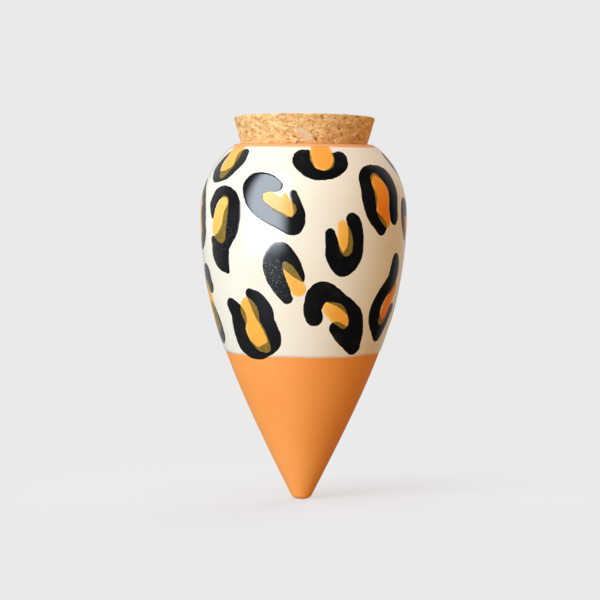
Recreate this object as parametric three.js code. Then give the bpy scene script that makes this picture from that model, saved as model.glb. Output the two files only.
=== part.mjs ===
// Irrigation olla: a hollow terracotta spike pot, glazed over its upper half and closed by a tapered cork.
// Millimetres, +Z up. The origin is on the axis at the soil line, where the glaze ends and the bare spike begins.
import * as THREE from "three";

const { degToRad } = THREE.MathUtils;

// Spike: a small flat at the tip, a rounded edge and a slightly swollen cone
const TIP_FLAT_DIAMETER = 3.1;
const TIP_ROUND = 3;
const SPIKE_HALF_ANGLE = degToRad(26.9);
const SPIKE_PULL = 59; // how far the cone's direction carries up the flank

// Belly and shoulder
const BELLY_DIAMETER = 81.5;
const FLANK_HEIGHT = 114.2; // tip to the widest place
const BELLY_PULL_DOWN = 35.4; // how far the upright wall carries down into the flank
const SHOULDER_RISE = 26.8; // widest place to the outer edge of the lip
const BELLY_PULL_UP = 13.2; // how far the upright wall carries up into the shoulder
const SHOULDER_ANGLE = degToRad(47.7); // lean of the shoulder, from upright, where it meets the lip
const SHOULDER_PULL = 9.1; // how far that lean carries down the shoulder

// Wall and water chamber
const WALL = 4;
const CHAMBER_NOSE_RADIUS = 3.6; // the chamber's radius where its cone turns into a round nose

// Lip and cork seat
const LIP_ROUND = 3.8;
const LIP_LAND = 0.5; // flat ring between the rounded lip and the mouth
const SEAT_DEPTH = 3.5; // height of the tapered ring that the cork wedges into
const SEAT_CLEARANCE = 0.3; // between cork and seat, square to both

// Cork stopper
const CORK_TOP_DIAMETER = 56.4;
const CORK_HEIGHT = 21.5;
const CORK_PROUD = 10.2; // the part that stands above the lip
const CORK_TAPER = degToRad(17); // half-angle of the plug
const CORK_TOP_EDGE = 0.5; // rounded edge of the top face
const CORK_FOOT_EDGE = 1.6; // rounded edge that leads the plug into the mouth

// Glaze coat
const SOIL_LINE = 58.1; // height above the tip where the coat ends
const COAT_THICKNESS = 0.25;
const COAT_BOND_GAP = 0.05; // keeps the coat's solid clear of the clay

// Faceting
const FACETS = 64; // flats round the axis
const FLANK_STEPS = 6; // on each side of the soil line
const SHOULDER_STEPS = 7;
const CHAMBER_STEPS = 9; // down the chamber's flank
const ROUND_STEPS = 3; // on each rounded edge

const UP = Math.PI / 2;
const DOWN = -Math.PI / 2;

const point = (radius, height) => new THREE.Vector2(radius, height);
const heading = (angle) => point(Math.cos(angle), Math.sin(angle));

// The place on a circle that faces the given way.
function onCircle(centre, radius, angle) {
  return heading(angle).multiplyScalar(radius).add(centre);
}

// Points along an arc.
function arc(centre, radius, from, to) {
  const angles = Array.from({ length: ROUND_STEPS + 1 }, (_, i) => from + ((to - from) * i) / ROUND_STEPS);
  return angles.map((angle) => onCircle(centre, radius, angle));
}

// The outward unit normal of a wall curve that runs upwards.
function outward(curve, t) {
  const tangent = curve.getTangent(t);
  return point(tangent.y, -tangent.x);
}

// A place on a wall curve, moved outwards by an offset.
function onWall(curve, t, offset = 0) {
  return outward(curve, t).multiplyScalar(offset).add(curve.getPoint(t));
}

// Points along a stretch of a wall curve, moved outwards by an offset.
function along(curve, from, to, steps, offset = 0) {
  return Array.from({ length: steps + 1 }, (_, i) => onWall(curve, from + ((to - from) * i) / steps, offset));
}

// Where on a curve a measure that grows along it reaches a target.
function whereOn(measure, target) {
  let low = 0;
  let high = 1;
  for (let halving = 0; halving < 40; halving++) {
    const middle = (low + high) / 2;
    if (measure(middle) < target) low = middle;
    else high = middle;
  }
  return (low + high) / 2;
}

// One profile from several runs of points, without the places that two runs share.
function joined(...runs) {
  const SAME_PLACE = 1e-6;
  return runs.flat().filter((p, i, all) => i === 0 || p.distanceTo(all[i - 1]) > SAME_PLACE);
}

// The corner of two straight edges rounded with an arc that touches both.
function rounded(before, corner, after, radius) {
  const inwards = before.clone().sub(corner).normalize();
  const onwards = after.clone().sub(corner).normalize();
  const halfAngle = Math.acos(inwards.dot(onwards)) / 2;
  const middle = inwards.clone().add(onwards).normalize();
  const centre = middle.multiplyScalar(radius / Math.sin(halfAngle)).add(corner);
  const reach = radius / Math.tan(halfAngle);
  const start = inwards.multiplyScalar(reach).add(corner).sub(centre);
  const end = onwards.multiplyScalar(reach).add(corner).sub(centre);
  return arc(centre, radius, Math.atan2(start.y, start.x), Math.atan2(end.y, end.x));
}

// A profile turned about the Z axis.
function turned(name, profile, material) {
  const mesh = new THREE.Mesh(new THREE.LatheGeometry(profile, FACETS).rotateX(UP), material);
  mesh.name = name;
  return mesh;
}

// Cork: sizes that the mouth is made to
const corkTopRadius = CORK_TOP_DIAMETER / 2;
const corkFootRadius = corkTopRadius - CORK_HEIGHT * Math.tan(CORK_TAPER);
const corkRadiusAtLip = corkTopRadius - CORK_PROUD * Math.tan(CORK_TAPER);
const mouthRadius = corkRadiusAtLip + SEAT_CLEARANCE / Math.cos(CORK_TAPER);
const seatFootRadius = mouthRadius - SEAT_DEPTH * Math.tan(CORK_TAPER);

// Lip: a round crown that takes over from the shoulder and ends flat beside the mouth
const lipEdge = point(mouthRadius + LIP_LAND + LIP_ROUND * Math.cos(SHOULDER_ANGLE), FLANK_HEIGHT + SHOULDER_RISE);
const lipCentre = onCircle(lipEdge, -LIP_ROUND, SHOULDER_ANGLE);
const lipHeight = lipCentre.y + LIP_ROUND;

// Outer wall: the flank runs from the tip to the belly, the shoulder from the belly to the lip
const tipCentre = point(TIP_FLAT_DIAMETER / 2, TIP_ROUND);
const flankFoot = onCircle(tipCentre, TIP_ROUND, -SPIKE_HALF_ANGLE);
const belly = point(BELLY_DIAMETER / 2, FLANK_HEIGHT);
const flank = new THREE.CubicBezierCurve(
  flankFoot,
  onCircle(flankFoot, SPIKE_PULL, UP - SPIKE_HALF_ANGLE),
  onCircle(belly, BELLY_PULL_DOWN, DOWN),
  belly,
);
const shoulder = new THREE.CubicBezierCurve(
  belly,
  onCircle(belly, BELLY_PULL_UP, UP),
  onCircle(lipEdge, -SHOULDER_PULL, UP + SHOULDER_ANGLE),
  lipEdge,
);
const soilLineOnFlank = whereOn((t) => flank.getPoint(t).y, SOIL_LINE);

// Water chamber: the outer wall moved in by the wall's thickness, closed by a nose centred on the axis
const noseOnFlank = whereOn((t) => onWall(flank, t, -WALL).x, CHAMBER_NOSE_RADIUS);
const noseStart = onWall(flank, noseOnFlank, -WALL);
const noseFacing = outward(flank, noseOnFlank);
const noseRound = noseStart.x / noseFacing.x;
const noseCentre = point(0, noseStart.y - noseRound * noseFacing.y);

// Terracotta shell, from the tip up the outside, over the lip and down the inside
function clayBody() {
  const profile = joined(
    [point(0, 0)],
    arc(tipCentre, TIP_ROUND, DOWN, -SPIKE_HALF_ANGLE),
    along(flank, 0, soilLineOnFlank, FLANK_STEPS),
    along(flank, soilLineOnFlank, 1, FLANK_STEPS),
    along(shoulder, 0, 1, SHOULDER_STEPS),
    arc(lipCentre, LIP_ROUND, SHOULDER_ANGLE, UP),
    [point(mouthRadius, lipHeight)],
    [point(seatFootRadius, lipHeight - SEAT_DEPTH)],
    along(shoulder, 1, 0, SHOULDER_STEPS, -WALL),
    along(flank, 1, noseOnFlank, CHAMBER_STEPS, -WALL),
    arc(noseCentre, noseRound, Math.atan2(noseFacing.y, noseFacing.x), DOWN),
  );
  const material = new THREE.MeshStandardMaterial({ color: 0xd98a52, roughness: 0.85, metalness: 0 });
  return turned("clay_body", profile, material);
}

// Cream coat: a thin skin on the clay from the soil line to the edge of the lip
function glazeCoat() {
  const back = COAT_BOND_GAP;
  const face = COAT_BOND_GAP + COAT_THICKNESS;
  const faceRun = joined(
    along(flank, soilLineOnFlank, 1, FLANK_STEPS, face),
    along(shoulder, 0, 1, SHOULDER_STEPS, face),
  );
  const backRun = joined(
    along(shoulder, 1, 0, SHOULDER_STEPS, back),
    along(flank, 1, soilLineOnFlank, FLANK_STEPS, back),
  );
  const profile = joined(faceRun, backRun, [faceRun[0]]);
  const material = new THREE.MeshStandardMaterial({ color: 0xf3e6cf, roughness: 0.3, metalness: 0 });
  return turned("glaze_coat", profile, material);
}

// Tapered cork, standing on its foot
function corkStopper() {
  const footCentre = point(0, 0);
  const foot = point(corkFootRadius, 0);
  const top = point(corkTopRadius, CORK_HEIGHT);
  const topCentre = point(0, CORK_HEIGHT);
  const profile = joined(
    [footCentre],
    rounded(footCentre, foot, top, CORK_FOOT_EDGE),
    rounded(foot, top, topCentre, CORK_TOP_EDGE),
    [topCentre],
  );
  const material = new THREE.MeshStandardMaterial({ color: 0xcf9f68, roughness: 0.9, metalness: 0 });
  return turned("cork_stopper", profile, material);
}

const vessel = new THREE.Group();
vessel.position.z = -SOIL_LINE;
vessel.add(clayBody(), glazeCoat());

const stopper = new THREE.Group();
stopper.position.z = lipHeight + CORK_PROUD - CORK_HEIGHT;
stopper.add(corkStopper());
vessel.add(stopper);

const olla = new THREE.Group();
olla.add(vessel);

export default olla;
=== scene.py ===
"""Dresses the irrigation olla: a bare clay spike, a cream glaze with brushed spots and a cork stopper.

Metres, +Z up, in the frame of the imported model. The origin is on the axis at the soil line, and the
photographed side faces -Y. Places on the wall are given as an angle round the axis, from -Y towards +X,
and as a climb, measured along the wall from the soil line.
"""

import logging
import math
from collections.abc import Callable, Iterable, Sequence
from dataclasses import dataclass, field
from enum import Enum
from typing import Any

import bpy
import numpy as np
from mathutils import Matrix, Vector


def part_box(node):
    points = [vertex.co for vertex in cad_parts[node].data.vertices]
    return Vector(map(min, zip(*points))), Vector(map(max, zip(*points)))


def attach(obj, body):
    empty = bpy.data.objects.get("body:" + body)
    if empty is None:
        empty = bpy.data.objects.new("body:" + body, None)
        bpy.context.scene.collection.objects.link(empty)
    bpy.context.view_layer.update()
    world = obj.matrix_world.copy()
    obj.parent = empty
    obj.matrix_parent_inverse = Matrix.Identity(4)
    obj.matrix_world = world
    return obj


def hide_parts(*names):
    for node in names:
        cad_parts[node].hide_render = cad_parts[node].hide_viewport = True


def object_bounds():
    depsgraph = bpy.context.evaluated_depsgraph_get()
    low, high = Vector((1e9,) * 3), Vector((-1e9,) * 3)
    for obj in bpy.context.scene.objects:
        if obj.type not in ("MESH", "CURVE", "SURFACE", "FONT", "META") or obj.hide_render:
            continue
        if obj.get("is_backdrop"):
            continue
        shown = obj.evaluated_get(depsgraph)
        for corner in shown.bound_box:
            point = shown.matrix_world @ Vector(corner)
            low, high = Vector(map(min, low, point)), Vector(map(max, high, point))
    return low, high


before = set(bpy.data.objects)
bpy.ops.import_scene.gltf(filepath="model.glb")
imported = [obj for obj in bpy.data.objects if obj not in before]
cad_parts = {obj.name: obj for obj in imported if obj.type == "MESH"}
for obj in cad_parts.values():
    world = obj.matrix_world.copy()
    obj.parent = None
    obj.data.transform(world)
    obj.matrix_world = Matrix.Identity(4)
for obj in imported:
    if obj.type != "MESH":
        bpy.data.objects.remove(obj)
CAD_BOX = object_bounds()

LOG = logging.getLogger("olla")
MM = 0.001
UP = math.pi / 2
QUARTER_TURN = 90.0  # in degrees, as azimuths are
NOISE_MIDDLE = 0.5  # what a noise swings about
GRANULE_SEED = 1.0  # the cork's shape and its colours share the seeds of their cells
CRUMB_SEED = 2.0

Triple = tuple[float, float, float]
Colour = Triple
Stops = tuple[tuple[float, Colour], ...]


def math_operator(operation: str, reflected: bool = False) -> Callable[["Wire", "Wire | float"], "Wire"]:
    """Makes an operator's method, which adds a Math node.

    Args:
        operation: the node's operation.
        reflected: whether the wire stands on the right of the operator.

    Returns:
        The method.
    """
    def apply(wire: "Wire", other: "Wire | float") -> "Wire":
        """Adds the node and gives its value."""
        left, right = (other, wire) if reflected else (wire, other)
        return wire.graph.math(operation, left, right)

    return apply


class Wire:
    """A node's output that stands in Python expressions: each operation adds its Math node."""

    __add__ = math_operator("ADD")
    __radd__ = math_operator("ADD", reflected=True)
    __sub__ = math_operator("SUBTRACT")
    __rsub__ = math_operator("SUBTRACT", reflected=True)
    __mul__ = math_operator("MULTIPLY")
    __rmul__ = math_operator("MULTIPLY", reflected=True)
    __truediv__ = math_operator("DIVIDE")
    __rtruediv__ = math_operator("DIVIDE", reflected=True)
    __gt__ = math_operator("GREATER_THAN")

    def __init__(self, graph: "NodeGraph", socket: bpy.types.NodeSocket) -> None:
        """Keeps the socket and the graph that new nodes go to."""
        self.graph = graph
        self.socket = socket


Feed = Wire | list[Wire] | float | str | bool | Sequence[float] | Vector


def in_use(sockets: Iterable[bpy.types.NodeSocket], key: str | int) -> bpy.types.NodeSocket:
    """Finds a socket by its name, among those that the node's settings leave in use.

    Args:
        sockets: a node's inputs or outputs.
        key: the socket's name, or its number where names repeat.

    Returns:
        The socket.
    """
    if isinstance(key, int):
        return sockets[key]
    return next(socket for socket in sockets if socket.enabled and socket.name == key)


class FittedNode:
    """A node whose outputs are picked by name."""

    def __init__(self, graph: "NodeGraph", node: bpy.types.Node) -> None:
        """Keeps the node and its graph."""
        self.graph = graph
        self.node = node

    def __getitem__(self, name: str) -> Wire:
        """Gives the output in use that has this name."""
        return Wire(self.graph, in_use(self.node.outputs, name))


class NodeGraph:
    """Adds nodes to one shader or geometry tree."""

    def __init__(self, tree: bpy.types.NodeTree) -> None:
        """Keeps the tree that the nodes go to."""
        self.tree = tree

    def node(self, kind: str, settings: dict[str, Any] | None = None,
             feeds: dict[str | int, Feed] | None = None) -> FittedNode:
        """Adds a node.

        Args:
            kind: the node's type.
            settings: its settings, set before its sockets; "stops" are a colour ramp's stops.
            feeds: a value or a wire for each socket that is set.

        Returns:
            The node, ready for its outputs to be picked.
        """
        node = self.tree.nodes.new(kind)
        for name, value in (settings or {}).items():
            if name == "stops":
                self._set_stops(node.color_ramp, value)
            else:
                setattr(node, name, value)
        for key, value in (feeds or {}).items():
            self._feed(in_use(node.inputs, key), value)
        return FittedNode(self, node)

    @staticmethod
    def _set_stops(ramp: bpy.types.ColorRamp, stops: Stops) -> None:
        """Gives a colour ramp its stops.

        Args:
            ramp: the ramp.
            stops: the position and the colour of each stop, first to last.
        """
        while len(ramp.elements) < len(stops):
            ramp.elements.new(1.0)
        for element, (position, colour) in zip(ramp.elements, stops):
            element.position = position
            element.color = (*colour, 1.0)

    def _feed(self, socket: bpy.types.NodeSocket, value: Feed) -> None:
        """Links a socket or sets its value.

        Args:
            socket: the input that is fed.
            value: a wire, a list of wires or a plain value.
        """
        if isinstance(value, Wire):
            self.tree.links.new(value.socket, socket)
        elif isinstance(value, list):
            for wire in value:
                self.tree.links.new(wire.socket, socket)
        elif socket.type == "RGBA":
            socket.default_value = (*value, 1.0)
        else:
            socket.default_value = value

    def math(self, operation: str, left: Feed, right: Feed = 0.0) -> Wire:
        """Adds a Math node and gives its value."""
        return self.node("ShaderNodeMath", {"operation": operation}, {0: left, 1: right})["Value"]

    def vector(self, operation: str, left: Feed, right: Feed, output: str = "Vector") -> Wire:
        """Adds a Vector Math node and gives its result; SCALE takes a number on the right."""
        second = "Scale" if operation == "SCALE" else 1
        return self.node("ShaderNodeVectorMath", {"operation": operation}, {0: left, second: right})[output]

    def scaled(self, vector: Feed, amount: Feed) -> Wire:
        """Multiplies a vector, or a colour, by a number."""
        return self.vector("SCALE", vector, amount)

    def plus(self, base: Feed, added: Feed, amount: Feed) -> Wire:
        """Adds a vector, or a colour, times a number to another."""
        return self.vector("ADD", base, self.scaled(added, amount))

    def distance(self, left: Feed, right: Feed) -> Wire:
        """Gives the distance between two places."""
        return self.vector("DISTANCE", left, right, "Value")

    def dot(self, left: Feed, right: Feed) -> Wire:
        """Gives how far one vector goes along another."""
        return self.vector("DOT_PRODUCT", left, right, "Value")

    def part(self, vector: Feed, axis: str) -> Wire:
        """Gives one part of a vector: X, Y or Z."""
        return self.node("ShaderNodeSeparateXYZ", None, {"Vector": vector})[axis]

    def mix(self, share: Feed, first: Feed, second: Feed) -> Wire:
        """Mixes two colours."""
        settings = {"data_type": "RGBA", "clamp_factor": True}
        return self.node("ShaderNodeMix", settings, {"Factor": share, "A": first, "B": second})["Result"]

    def ease(self, value: Wire, low: Feed, high: Feed, to_low: Feed = 0.0, to_high: Feed = 1.0) -> Wire:
        """Maps a value smoothly from one range to another and holds it at the ends."""
        feeds = {"Value": value, "From Min": low, "From Max": high, "To Min": to_low, "To Max": to_high}
        return self.node("ShaderNodeMapRange", {"interpolation_type": "SMOOTHSTEP"}, feeds)["Result"]

    def noise(self, where: Feed, size: Feed, detail: float, seed: Feed, output: str = "Fac") -> Wire:
        """Gives a noise between 0 and 1 whose lumps are about as wide as the given size."""
        feeds = {"Vector": where, "W": seed, "Scale": 1.0 / size, "Detail": detail}
        return self.node("ShaderNodeTexNoise", {"noise_dimensions": "4D"}, feeds)[output]

    def swirl(self, where: Feed, size: Feed, detail: float, seed: Feed) -> Wire:
        """Gives a noise that points every way, as a vector that swings about zero."""
        return self.vector("SUBTRACT", self.noise(where, size, detail, seed, "Color"), (NOISE_MIDDLE,) * 3)

    def cells(self, where: Feed, size: Feed, seed: float, feature: str = "F1") -> FittedNode:
        """Adds a Voronoi pattern whose cells are about as wide as the given size."""
        settings = {"voronoi_dimensions": "4D", "feature": feature}
        return self.node("ShaderNodeTexVoronoi", settings, {"Vector": where, "W": seed, "Scale": 1.0 / size})

    def seam(self, where: Feed, size: Feed, seed: float, width: float) -> Wire:
        """Gives 1 along the seams between cells and 0 on them; the width is a share of a cell."""
        gap = self.cells(where, size, seed, "DISTANCE_TO_EDGE")["Distance"]
        return 1.0 - self.ease(gap, 0.0, width)


class SurfaceShader(NodeGraph):
    """A material with one Principled shader, built from expressions."""

    def __init__(self, name: str) -> None:
        """Starts an empty material.

        Args:
            name: the material's name.
        """
        self.material = bpy.data.materials.new(name)
        self.material.use_nodes = True
        super().__init__(self.material.node_tree)
        self.tree.nodes.clear()

    def place(self) -> Wire:
        """Gives the place on the piece, in metres."""
        return self.node("ShaderNodeTexCoord")["Object"]

    def carried(self, attribute: str, output: str = "Fac") -> Wire:
        """Gives what the mesh carries under a name: a number or, with the output Vector, a place."""
        return self.node("ShaderNodeAttribute", {"attribute_name": attribute})[output]

    def tone(self, where: Feed, size: Feed, seed: float) -> Wire:
        """Gives each cell of a pattern a number of its own, from 0 to 1."""
        colour = self.cells(where, size, seed)["Color"]
        return self.node("ShaderNodeSeparateColor", None, {"Color": colour})["Red"]

    def ramp(self, value: Wire, stops: Stops) -> Wire:
        """Turns a value into a colour by a row of stops."""
        return self.node("ShaderNodeValToRGB", {"stops": stops}, {"Fac": value})["Color"]

    def bump(self, height: Wire, strength: float, depth: float) -> Wire:
        """Turns a height between 0 and 1 into a normal, with the depth in metres."""
        feeds = {"Height": height, "Strength": strength, "Distance": depth}
        return self.node("ShaderNodeBump", None, feeds)["Normal"]

    def finish(self, **feeds: Feed) -> bpy.types.Material:
        """Adds the Principled shader and the output.

        Args:
            feeds: the shader's sockets, with underscores for spaces.

        Returns:
            The material.
        """
        named = {name.replace("_", " "): value for name, value in feeds.items()}
        shader = self.node("ShaderNodeBsdfPrincipled", None, named)["BSDF"]
        self.node("ShaderNodeOutputMaterial", None, {"Surface": shader})
        return self.material


class GeometryTree(NodeGraph):
    """A Geometry Nodes tree with named inputs."""

    def __init__(self, name: str) -> None:
        """Starts a tree that takes a geometry and gives one back.

        Args:
            name: the tree's name.
        """
        super().__init__(bpy.data.node_groups.new(name, "GeometryNodeTree"))
        self.identifiers: dict[str, str] = {}
        for way in ("INPUT", "OUTPUT"):
            self.tree.interface.new_socket("Geometry", in_out=way, socket_type="NodeSocketGeometry")
        self.inputs = self.node("NodeGroupInput")

    def add_input(self, name: str, kind: str = "NodeSocketFloat") -> Wire:
        """Adds a named input.

        Args:
            name: the input's name.
            kind: its socket type.

        Returns:
            The wire that carries its value.
        """
        socket = self.tree.interface.new_socket(name, in_out="INPUT", socket_type=kind)
        self.identifiers[name] = socket.identifier
        return self.inputs[name]

    def position(self) -> Wire:
        """Gives each point's place."""
        return self.node("GeometryNodeInputPosition")["Position"]

    def normal(self) -> Wire:
        """Gives each point's outward direction."""
        return self.node("GeometryNodeInputNormal")["Normal"]

    def attribute(self, name: str, data_type: str = "FLOAT") -> Wire:
        """Reads a named attribute as a field."""
        node = self.node("GeometryNodeInputNamedAttribute", {"data_type": data_type}, {"Name": name})
        return node["Attribute"]

    def store(self, geometry: Wire, name: str, value: Wire, data_type: str = "FLOAT") -> Wire:
        """Stores a field on the points of a geometry.

        Args:
            geometry: the geometry.
            name: the name that the field is stored under.
            value: the field.
            data_type: what kind of value it has.

        Returns:
            The geometry with the field.
        """
        settings = {"data_type": data_type, "domain": "POINT"}
        feeds = {"Geometry": geometry, "Name": name, "Value": value}
        return self.node("GeometryNodeStoreNamedAttribute", settings, feeds)["Geometry"]

    def sample(self, geometry: Wire, value: Wire, index: Wire, data_type: str = "FLOAT") -> Wire:
        """Reads a field of another geometry at one of its points.

        Args:
            geometry: the other geometry.
            value: the field.
            index: the number of the point.
            data_type: what kind of value it has.

        Returns:
            The field's value at that point.
        """
        settings = {"data_type": data_type, "domain": "POINT"}
        feeds = {"Geometry": geometry, "Value": value, "Index": index}
        return self.node("GeometryNodeSampleIndex", settings, feeds)["Value"]

    def move(self, geometry: Wire, offset: Wire, selection: Feed = True) -> Wire:
        """Moves the selected points by an offset."""
        feeds = {"Geometry": geometry, "Selection": selection, "Offset": offset}
        return self.node("GeometryNodeSetPosition", None, feeds)["Geometry"]

    def close(self, geometry: Wire, material: Wire) -> None:
        """Ends the tree with smooth shading, real meshes and a material.

        Args:
            geometry: what the tree gives back.
            material: the material that dresses it.
        """
        smooth = self.node("GeometryNodeSetShadeSmooth", None, {"Geometry": geometry})["Geometry"]
        whole = self.node("GeometryNodeRealizeInstances", None, {"Geometry": smooth})["Geometry"]
        dressed = self.node("GeometryNodeSetMaterial", None, {"Geometry": whole, "Material": material})
        self.node("NodeGroupOutput", None, {"Geometry": dressed["Geometry"]})

    def made(self, piece: bpy.types.Object, values: dict[str, Any]) -> None:
        """Runs the tree on a piece and leaves it with the plain mesh that comes out.

        Args:
            piece: the object whose mesh goes in.
            values: the value of each named input.
        """
        modifier = piece.modifiers.new(self.tree.name, "NODES")
        modifier.node_group = self.tree
        for name, value in values.items():
            modifier[self.identifiers[name]] = value
        evaluated = piece.evaluated_get(bpy.context.evaluated_depsgraph_get())
        mesh = bpy.data.meshes.new_from_object(evaluated)
        mesh.name = piece.name
        piece.modifiers.remove(modifier)
        raw = piece.data
        piece.data = mesh
        bpy.data.meshes.remove(raw)


def new_piece(name: str, mesh: bpy.types.Mesh) -> bpy.types.Object:
    """Puts a mesh into the scene as an object at the origin.

    Args:
        name: the object's name.
        mesh: its mesh.

    Returns:
        The object.
    """
    piece = bpy.data.objects.new(name, mesh)
    bpy.context.scene.collection.objects.link(piece)
    return piece


def mesh_of(name: str, points: np.ndarray, faces: Sequence[Sequence[int]]) -> bpy.types.Mesh:
    """Makes a smooth mesh.

    Args:
        name: the mesh's name.
        points: its points, in rows of any shape.
        faces: the point numbers of each face.

    Returns:
        The mesh.
    """
    mesh = bpy.data.meshes.new(name)
    mesh.from_pydata(points.reshape(-1, 3).tolist(), [], faces)
    mesh.shade_smooth()
    return mesh


def carry(mesh: bpy.types.Mesh, name: str, values: np.ndarray) -> None:
    """Stores numbers, or vectors, on a mesh's points under a name."""
    kind, slot = ("FLOAT_VECTOR", "vector") if values.ndim == 2 else ("FLOAT", "value")
    mesh.attributes.new(name, kind, "POINT").data.foreach_set(slot, values.astype(np.float32).ravel())


def all_round(columns: int) -> np.ndarray:
    """Gives that many angles round the axis, evenly spread."""
    return np.linspace(0.0, math.tau, columns, endpoint=False)


def around(radius: np.ndarray, angle: np.ndarray, height: np.ndarray) -> np.ndarray:
    """Places points round the axis, with angle 0 at -Y and growing towards +X."""
    return np.stack(np.broadcast_arrays(radius * np.sin(angle), -radius * np.cos(angle), height), axis=-1)


def sheet_faces(rows: int, columns: int, closed: bool) -> list[tuple[int, int, int, int]]:
    """Lists the faces of rows of points that go round the axis, facing out where the rows climb.

    Args:
        rows: how many rows there are.
        columns: how many points go round.
        closed: whether the last row joins the first.

    Returns:
        Four point numbers for each face.
    """
    pairs = [(row, (row + 1) % rows) for row in range(rows if closed else rows - 1)]
    turns = [(column, (column + 1) % columns) for column in range(columns)]
    return [(low * columns + a, low * columns + b, high * columns + b, high * columns + a)
            for low, high in pairs for a, b in turns]


def turned(profile: np.ndarray, columns: int) -> tuple[np.ndarray, list[tuple[int, ...]]]:
    """Turns a profile that starts and ends on the axis into a closed surface.

    Args:
        profile: radius and height of each point, with the material on the left of its way.
        columns: how many points go round.

    Returns:
        The points, and the point numbers of each face.
    """
    body = profile[1:-1]
    rings = around(body[:, :1], all_round(columns), body[:, 1:]).reshape(-1, 3)
    poles = np.array([[0.0, 0.0, profile[0, 1]], [0.0, 0.0, profile[-1, 1]]])
    first, last = len(rings), len(rings) + 1
    top_row = (len(body) - 1) * columns
    faces: list[tuple[int, ...]] = list(sheet_faces(len(body), columns, closed=False))
    for column in range(columns):
        following = (column + 1) % columns
        faces.append((first, following, column))
        faces.append((last, top_row + column, top_row + following))
    return np.vstack([rings, poles]), faces


def towards(azimuth: float, elevation: float) -> Vector:
    """Gives the direction at an azimuth from -Y towards +X and an elevation, both in degrees."""
    angle, rise = math.radians(azimuth), math.radians(elevation)
    return Vector((math.sin(angle) * math.cos(rise), -math.cos(angle) * math.cos(rise), math.sin(rise)))


def heading(angle: float) -> np.ndarray:
    """Gives the unit vector, as (radius, height), at an angle from level."""
    return np.array([math.cos(angle), math.sin(angle)])


def arc(centre: Sequence[float], radius: float, start: float, end: float, steps: int) -> np.ndarray:
    """Gives points along an arc in (radius, height)."""
    angle = np.linspace(start, end, steps + 1)
    return np.stack([centre[0] + radius * np.cos(angle), centre[1] + radius * np.sin(angle)], axis=1)


def bezier(points: Sequence[np.ndarray], steps: int) -> np.ndarray:
    """Gives points along a cubic Bezier curve.

    Args:
        points: the start, the two places that pull the curve, and the end.
        steps: how many stretches the points that come back mark off.

    Returns:
        The points, one row each.
    """
    t = np.linspace(0.0, 1.0, steps + 1)[:, None]
    start, pull_out, pull_in, end = points
    first_half = start * (1 - t) ** 3 + pull_out * 3 * t * (1 - t) ** 2
    return first_half + pull_in * 3 * t ** 2 * (1 - t) + end * t ** 3


def smooth_run(points: np.ndarray, step: float) -> np.ndarray:
    """Gives a smooth curve through points, with a place about every step.

    Args:
        points: the points, one row each; the first two numbers are lengths on the wall.
        step: the spacing of the places that come back.

    Returns:
        The places, one row each.
    """
    padded = np.vstack([2 * points[0] - points[1], points, 2 * points[-1] - points[-2]])
    runs = []
    for before, start, end, after in zip(padded, padded[1:], padded[2:], padded[3:]):
        count = max(2, math.ceil(float(np.hypot(*(end - start)[:2])) / step))
        t = np.linspace(0.0, 1.0, count, endpoint=False)[:, None]
        bend = 2 * before - 5 * start + 4 * end - after
        twist = 3 * start - before - 3 * end + after
        runs.append(start + 0.5 * t * ((end - before) + t * (bend + t * twist)))
    return np.vstack([*runs, points[-1:]])


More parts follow.
